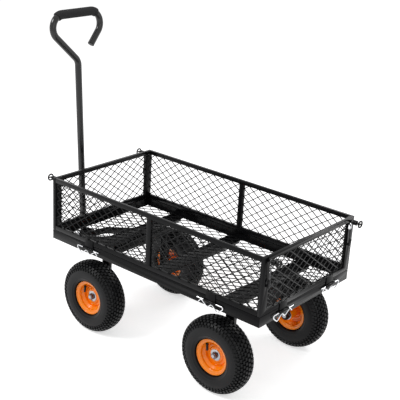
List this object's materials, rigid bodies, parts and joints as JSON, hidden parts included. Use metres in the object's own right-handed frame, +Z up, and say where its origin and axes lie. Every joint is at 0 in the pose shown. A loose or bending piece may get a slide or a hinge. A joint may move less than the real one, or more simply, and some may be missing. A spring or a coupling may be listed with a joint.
{
  "type": "garden cart",
  "caption": "Low garden cart with a mesh deck, fold-down latched mesh sides, a turntable steering axle, air tyres on dished rims and a tilting loop pull handle.",
  "frame": {"origin": "on the ground, midway between the cart's front and rear reach and midway between its sides", "axes": "+X towards the tail, -X towards the pull handle, +Y towards the right-hand side of somebody who faces the way the cart is pulled, +Z up"},
  "size_m": [1.1412, 0.5224, 1.086],
  "materials": {
    "frame_steel": "satin black powder coat",
    "mesh_steel": "satin black powder coat on expanded steel",
    "zinc": "bright zinc plate",
    "handle_steel": "gloss black powder coat",
    "foam": "dark grey foam",
    "plug": "black plastic",
    "pin_black": "black",
    "cord": "grey coated cord with a black crimp",
    "rim_orange": "gloss orange",
    "tyre_rubber": "matte black rubber",
    "valve_rubber": "black rubber"
  },
  "bodies": {
    "bed": {"bed_frame": "frame_steel", "floor_mesh": "mesh_steel", "cross_members": "frame_steel", "spring_clips": "zinc", "rear_axle_frame": "frame_steel", "rear_axles": "zinc", "rear_axle_nuts": "zinc", "turntable_plate": "frame_steel", "thrust_washer": "zinc", "kingpin": "zinc", "kingpin_nut": "zinc"},
    "front_truck": {"steering_plate": "frame_steel", "front_axle_frame": "frame_steel", "front_axles": "zinc", "front_axle_nuts": "zinc", "tongue": "frame_steel", "tongue_bolt": "zinc", "tongue_nut": "zinc"},
    "handle": {"handle_tube": "handle_steel", "handle_grip": "foam", "handle_plug": "plug"},
    "left_side": {"left_side_frame": "frame_steel", "left_keepers": "frame_steel", "left_side_mesh": "mesh_steel"},
    "right_side": {"right_side_frame": "frame_steel", "right_keepers": "frame_steel", "right_side_mesh": "mesh_steel"},
    "front_side": {"front_side_frame": "frame_steel", "front_side_mesh": "mesh_steel", "front_dome_bolt": "zinc", "lanyard_fl": "cord", "lanyard_fr": "cord"},
    "rear_side": {"rear_side_frame": "frame_steel", "rear_side_mesh": "mesh_steel", "rear_dome_bolt": "zinc", "lanyard_rl": "cord", "lanyard_rr": "cord"},
    "pin_fl": {"latch_pin_fl": "pin_black"},
    "pin_fr": {"latch_pin_fr": "pin_black"},
    "pin_rl": {"latch_pin_rl": "pin_black"},
    "pin_rr": {"latch_pin_rr": "pin_black"},
    "wheel_fl": {"tyre_fl": "tyre_rubber", "rim_fl": "rim_orange", "valve_fl": "valve_rubber", "bearings_fl": "zinc"},
    "wheel_fr": {"tyre_fr": "tyre_rubber", "rim_fr": "rim_orange", "valve_fr": "valve_rubber", "bearings_fr": "zinc"},
    "wheel_rl": {"tyre_rl": "tyre_rubber", "rim_rl": "rim_orange", "valve_rl": "valve_rubber", "bearings_rl": "zinc"},
    "wheel_rr": {"tyre_rr": "tyre_rubber", "rim_rr": "rim_orange", "valve_rr": "valve_rubber", "bearings_rr": "zinc"}
  },
  "joints": [
    {"name": "steering", "type": "hinge", "parent": "bed", "child": "front_truck", "pos_m": [-0.23406, 0, 0.2935], "axis": [0, 0, 1], "range_deg": [-40, 40]},
    {"name": "handle_tilt", "type": "hinge", "parent": "front_truck", "child": "handle", "pos_m": [-0.50406, 0, 0.226], "axis": [0, -1, 0], "range_deg": [0, 98]},
    {"name": "left_side_fold", "type": "hinge", "parent": "bed", "child": "left_side", "pos_m": [0.06594, -0.256, 0.326], "axis": [1, 0, 0], "range_deg": [0, 90]},
    {"name": "right_side_fold", "type": "hinge", "parent": "bed", "child": "right_side", "pos_m": [0.06594, 0.256, 0.326], "axis": [-1, 0, 0], "range_deg": [0, 90]},
    {"name": "rear_side_fold", "type": "hinge", "parent": "bed", "child": "rear_side", "pos_m": [0.53694, 0, 0.326], "axis": [0, 1, 0], "range_deg": [0, 90]},
    {"name": "front_side_fold", "type": "hinge", "parent": "bed", "child": "front_side", "pos_m": [-0.40506, 0, 0.326], "axis": [0, -1, 0], "range_deg": [0, 24]},
    {"name": "pin_slide_fl", "type": "slide", "parent": "front_side", "child": "pin_fl", "axis": [-1, 0, 0], "range_m": [0, 0.018]},
    {"name": "pin_slide_fr", "type": "slide", "parent": "front_side", "child": "pin_fr", "axis": [-1, 0, 0], "range_m": [0, 0.018]},
    {"name": "pin_slide_rl", "type": "slide", "parent": "rear_side", "child": "pin_rl", "axis": [1, 0, 0], "range_m": [0, 0.018]},
    {"name": "pin_slide_rr", "type": "slide", "parent": "rear_side", "child": "pin_rr", "axis": [1, 0, 0], "range_m": [0, 0.018]},
    {"name": "wheel_spin_fl", "type": "hinge", "parent": "front_truck", "child": "wheel_fl", "pos_m": [-0.21506, -0.217, 0.13], "axis": [0, 1, 0], "continuous": true},
    {"name": "wheel_spin_fr", "type": "hinge", "parent": "front_truck", "child": "wheel_fr", "pos_m": [-0.21506, 0.217, 0.13], "axis": [0, 1, 0], "continuous": true},
    {"name": "wheel_spin_rl", "type": "hinge", "parent": "bed", "child": "wheel_rl", "pos_m": [0.35594, -0.217, 0.13], "axis": [0, 1, 0], "continuous": true},
    {"name": "wheel_spin_rr", "type": "hinge", "parent": "bed", "child": "wheel_rr", "pos_m": [0.35594, 0.217, 0.13], "axis": [0, 1, 0], "continuous": true}
  ]
}
